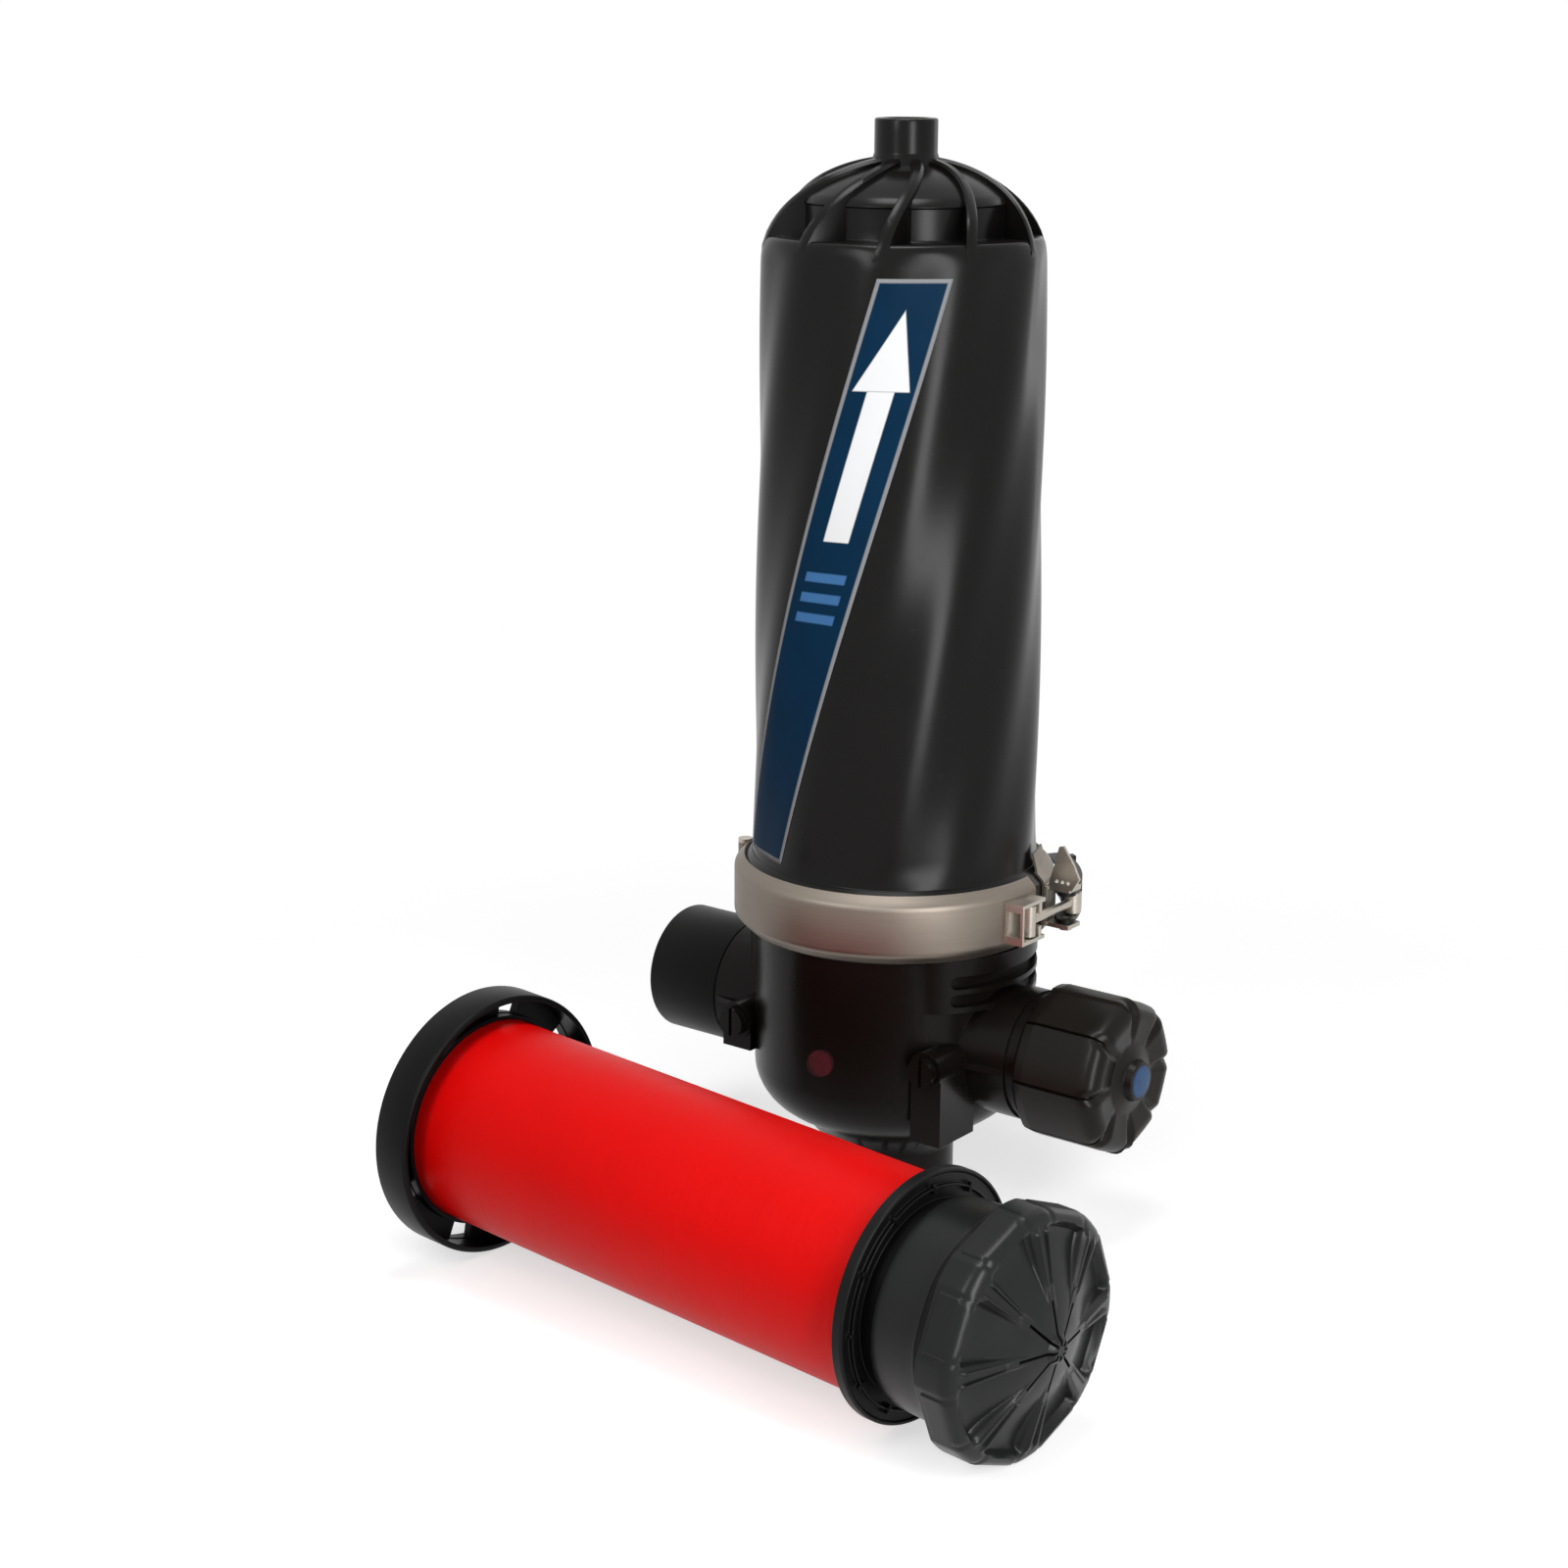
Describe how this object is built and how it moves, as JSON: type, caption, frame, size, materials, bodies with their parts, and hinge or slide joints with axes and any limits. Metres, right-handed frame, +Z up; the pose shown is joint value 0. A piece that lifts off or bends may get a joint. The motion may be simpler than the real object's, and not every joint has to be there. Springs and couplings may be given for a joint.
{
  "type": "irrigation disc filter",
  "caption": "Standing disc filter housing with finned lid, latched V-band clamp and side ports, and its red disc cartridge lying in front.",
  "frame": {"origin": "centre of the bottom port's end, which stands on the floor", "axes": "+Z up along the housing; +X along the capped side port, -X along the open one; the cartridge lies on the -Y side"},
  "size_m": [0.5136, 0.4876, 0.726],
  "materials": {
    "black_plastic": "satin black moulded plastic",
    "lever_coat": "black coated steel",
    "steel": "brushed stainless steel",
    "seal_rubber": "black rubber",
    "red_discs": "red moulded plastic, finely grooved"
  },
  "bodies": {
    "housing": {"lid": "black_plastic", "body": "black_plastic", "lid_seal": "seal_rubber", "clamp_front_band": "steel", "clamp_rear_band": "steel", "clamp_hinge_pin": "steel", "latch_keeper": "steel", "latch_base": "steel", "lever_pin_upper": "steel", "lever_pin_lower": "steel", "inlet_sleeve": "black_plastic", "inlet_plug": "black_plastic", "outlet_plug": "black_plastic", "inlet_plug_seal": "seal_rubber", "outlet_plug_seal": "seal_rubber", "helix_base": "black_plastic", "base_seal": "seal_rubber", "disc_stack": "red_discs", "spine": "black_plastic", "tie_rod": "steel", "release_spring": "steel"},
    "lever": {"latch_lever": "lever_coat", "tee_bolt_pin": "steel"},
    "drawbolt": {"tee_bolt": "steel"},
    "port_cap_carrier": {"port_gasket": "seal_rubber"},
    "port_cap": {"port_cap": "black_plastic"},
    "end_cap_carrier": {"spring_seat": "steel"},
    "end_cap": {"end_cap": "black_plastic"},
    "pressure_plate": {"pressure_plate": "black_plastic"}
  },
  "joints": [
    {"name": "lever_open", "type": "hinge", "parent": "housing", "child": "lever", "pos_m": [0.119, 0.033, 0.2115], "axis": [0, 0, -1], "range_deg": [0, 120]},
    {"name": "drawbolt_swing", "type": "hinge", "parent": "lever", "child": "drawbolt", "pos_m": [0.1176, 0.044, 0.2115], "axis": [0, 0, 1], "range_deg": [0, 138.5]},
    {"name": "port_cap_travel", "type": "slide", "parent": "housing", "child": "port_cap_carrier", "axis": [1, 0, 0], "range_m": [0, 0.0301]},
    {"name": "port_cap_turn", "type": "hinge", "parent": "port_cap_carrier", "child": "port_cap", "pos_m": [0.165, 0, 0.115], "axis": [1, 0, 0], "range_deg": [0, 2160]},
    {"name": "end_cap_travel", "type": "slide", "parent": "housing", "child": "end_cap_carrier", "axis": [0.9969, -0.075, -0.0245], "range_m": [0, 0.0361]},
    {"name": "end_cap_turn", "type": "hinge", "parent": "end_cap_carrier", "child": "end_cap", "pos_m": [0.28724, -0.2948, 0.07688], "axis": [0.9969, -0.075, -0.0245], "range_deg": [0, 2160]},
    {"name": "plate_release", "type": "slide", "parent": "housing", "child": "pressure_plate", "axis": [0.9969, -0.075, -0.0245], "range_m": [0, 0.008], "stiffness_N_per_m": 2000, "springref_m": -0.01, "deforming": ["release_spring"]}
  ],
  "couplings": [
    {"joint": "drawbolt_swing", "follows": "lever_open", "ratio": 1.15},
    {"joint": "port_cap_travel", "follows": "port_cap_turn", "m_per_rad": 0.00079577},
    {"joint": "end_cap_travel", "follows": "end_cap_turn", "m_per_rad": 0.00095493}
  ]
}
